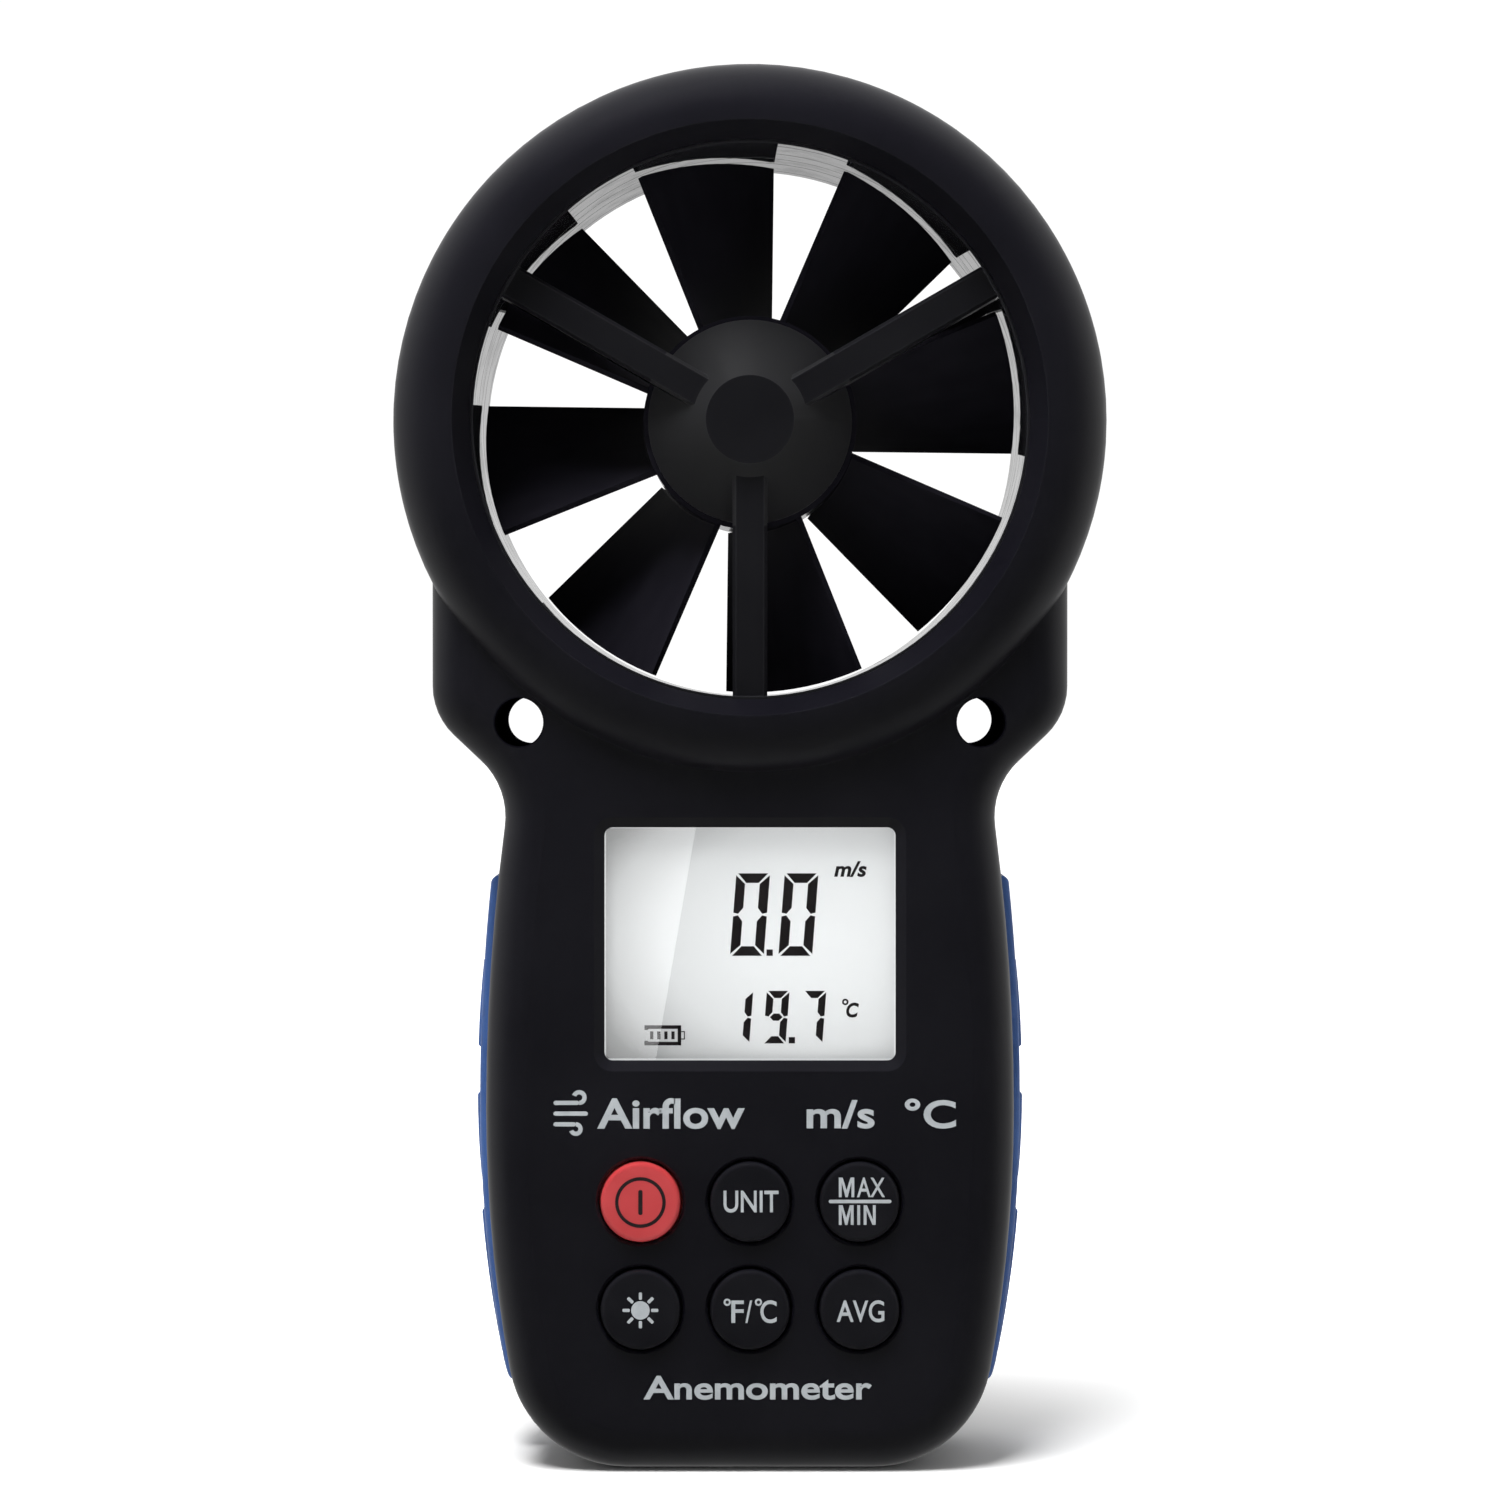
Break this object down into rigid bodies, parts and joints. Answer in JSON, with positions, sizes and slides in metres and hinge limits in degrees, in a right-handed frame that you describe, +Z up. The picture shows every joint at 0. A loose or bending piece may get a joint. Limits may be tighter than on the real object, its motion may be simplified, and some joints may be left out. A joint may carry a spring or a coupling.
{
  "type": "vane anemometer",
  "caption": "Handheld vane anemometer: a bladed impeller in a round duct over a handle with a display, round keys, side grips and a battery bay.",
  "frame": {"origin": "centre of the flat foot that the handle stands on, on the case's parting plane", "axes": "+Z up the handle towards the head, -Y out of the face with the display and keys, +X to the user's right"},
  "size_m": [0.0836, 0.038, 0.1646],
  "materials": {
    "case_plastic": "fine moulded texture, near black",
    "door_plastic": "fine moulded texture, near black",
    "foam": "soft open foam",
    "grip_rubber": "blue satin soft-touch rubber",
    "window_acrylic": "clear polished acrylic",
    "lcd_glass": "silvery reflective display cell",
    "light_guide": "milky diffuser",
    "inner_plastic": "white moulded plastic",
    "contact_rubber": "striped conductive elastomer",
    "key_silicone_black": "satin silicone with printed label",
    "key_silicone_red": "satin red silicone with printed label",
    "carbon_pill": "conductive carbon rubber",
    "gold": "gold-plated contact",
    "circuit_board": "green solder mask",
    "screw_steel": "zinc-plated steel",
    "chip_black": "moulded epoxy package",
    "can_metal": "drawn metal can",
    "capacitor_tan": "ceramic body",
    "duct_plastic": "polished duct wall, satin spokes, near black",
    "vane_plastic": "matte black moulded vanes",
    "shaft_steel": "ground steel",
    "bearing_sleeve": "sintered bronze sleeve",
    "ferrite": "sintered ferrite",
    "lead_grey": "insulated lead",
    "thermistor_bead": "glass bead",
    "battery_wrap": "printed metal jacket with a copper-coloured end",
    "snap_black": "moulded connector cap",
    "lead_red": "insulated lead",
    "lead_black": "insulated lead",
    "nut_brass": "turned brass"
  },
  "bodies": {
    "housing": {"front_case": "case_plastic", "rear_case": "case_plastic", "grip_left": "grip_rubber", "grip_right": "grip_rubber", "display_window": "window_acrylic", "lcd_glass": "lcd_glass", "lcd_backlight": "light_guide", "lcd_holder": "inner_plastic", "zebra_strips": "contact_rubber", "backlight_leds": "light_guide", "keypad_mat": "key_silicone_black", "contact_pads": "gold", "main_board": "circuit_board", "board_screws": "screw_steel", "case_screws": "screw_steel", "controller_chip": "chip_black", "oscillator_can": "can_metal", "board_capacitors": "capacitor_tan", "duct_front": "duct_plastic", "duct_rear": "duct_plastic", "front_bearing": "bearing_sleeve", "rear_bearing": "bearing_sleeve", "sensor_board": "circuit_board", "hall_sensor": "chip_black", "sensor_lead": "lead_grey", "thermistor": "thermistor_bead", "thermistor_lead": "lead_grey", "battery": "battery_wrap", "battery_snap": "snap_black", "battery_lead_red": "lead_red", "battery_lead_black": "lead_black", "tripod_nut": "nut_brass"},
    "impeller": {"impeller": "vane_plastic", "impeller_shaft": "shaft_steel", "sensor_magnet": "ferrite"},
    "battery_door": {"battery_door": "door_plastic", "battery_pad": "foam"},
    "key_power": {"key_power": "key_silicone_red", "key_pill_power": "carbon_pill"},
    "key_unit": {"key_unit": "key_silicone_black", "key_pill_unit": "carbon_pill"},
    "key_maxmin": {"key_maxmin": "key_silicone_black", "key_pill_maxmin": "carbon_pill"},
    "key_light": {"key_light": "key_silicone_black", "key_pill_light": "carbon_pill"},
    "key_scale": {"key_scale": "key_silicone_black", "key_pill_scale": "carbon_pill"},
    "key_average": {"key_average": "key_silicone_black", "key_pill_average": "carbon_pill"}
  },
  "joints": [
    {"name": "impeller_spin", "type": "hinge", "parent": "housing", "child": "impeller", "pos_m": [0, 0, 0.12285], "axis": [0, -1, 0], "continuous": true},
    {"name": "battery_door_hinge", "type": "hinge", "parent": "housing", "child": "battery_door", "pos_m": [0, 0.015, 0.0096], "axis": [-1, 0, 0], "range_deg": [0, 75]},
    {"name": "key_power_press", "type": "slide", "parent": "housing", "child": "key_power", "axis": [0, 1, 0], "range_m": [0, 0.0008], "stiffness_N_per_m": 600, "springref_m": -0.0012},
    {"name": "key_unit_press", "type": "slide", "parent": "housing", "child": "key_unit", "axis": [0, 1, 0], "range_m": [0, 0.0008], "stiffness_N_per_m": 600, "springref_m": -0.0012},
    {"name": "key_maxmin_press", "type": "slide", "parent": "housing", "child": "key_maxmin", "axis": [0, 1, 0], "range_m": [0, 0.0008], "stiffness_N_per_m": 600, "springref_m": -0.0012},
    {"name": "key_light_press", "type": "slide", "parent": "housing", "child": "key_light", "axis": [0, 1, 0], "range_m": [0, 0.0008], "stiffness_N_per_m": 600, "springref_m": -0.0012},
    {"name": "key_scale_press", "type": "slide", "parent": "housing", "child": "key_scale", "axis": [0, 1, 0], "range_m": [0, 0.0008], "stiffness_N_per_m": 600, "springref_m": -0.0012},
    {"name": "key_average_press", "type": "slide", "parent": "housing", "child": "key_average", "axis": [0, 1, 0], "range_m": [0, 0.0008], "stiffness_N_per_m": 600, "springref_m": -0.0012}
  ]
}
